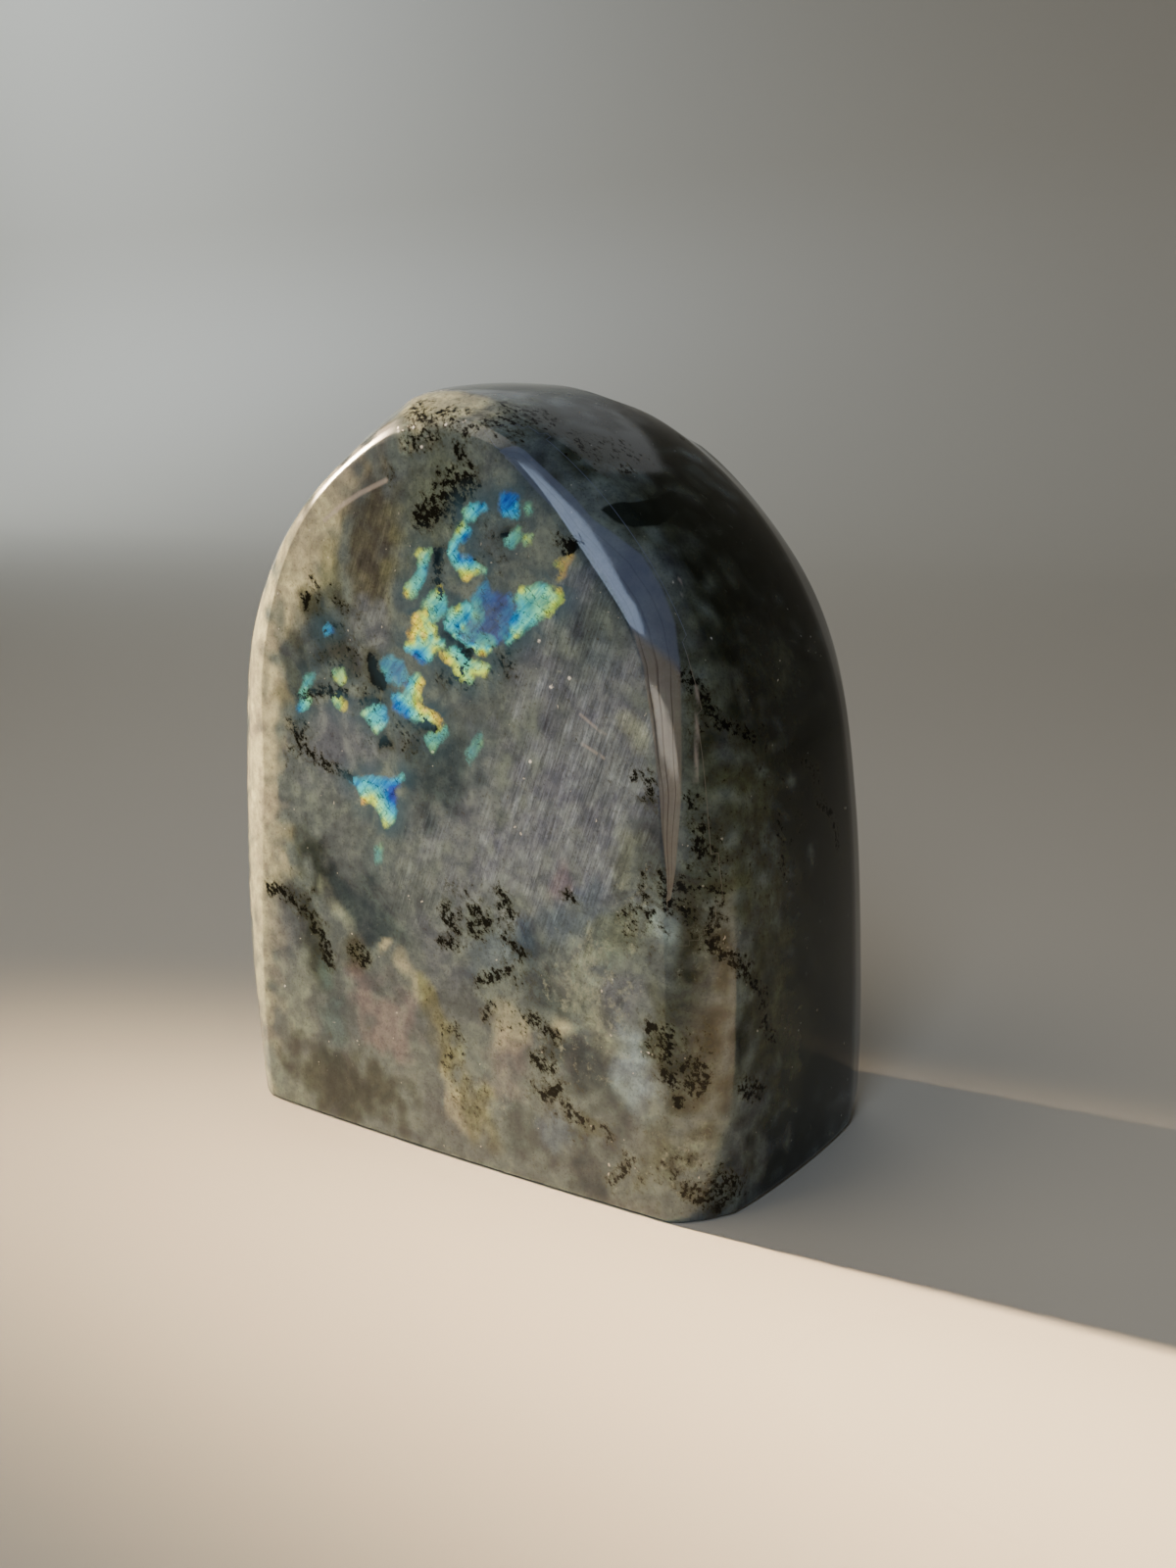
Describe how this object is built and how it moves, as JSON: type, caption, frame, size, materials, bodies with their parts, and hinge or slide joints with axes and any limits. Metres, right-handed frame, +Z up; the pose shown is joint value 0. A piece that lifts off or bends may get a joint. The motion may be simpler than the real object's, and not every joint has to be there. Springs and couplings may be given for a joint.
{
  "type": "cut-base labradorite",
  "caption": "Polished labradorite freeform: a thick stone arch that stands upright on its own flat sawn base.",
  "frame": {"origin": "middle of the flat foot, on the surface that the stone stands on", "axes": "+Z up through the top of the arch, -Y out of the broad front face, +X to the right seen from the front"},
  "size_m": [0.0856, 0.0484, 0.0995],
  "materials": {
    "stone": "polished grey-green labradorite feldspar with blue, green and gold flashes"
  },
  "bodies": {
    "root": {"labradorite": "stone"}
  },
  "joints": []
}
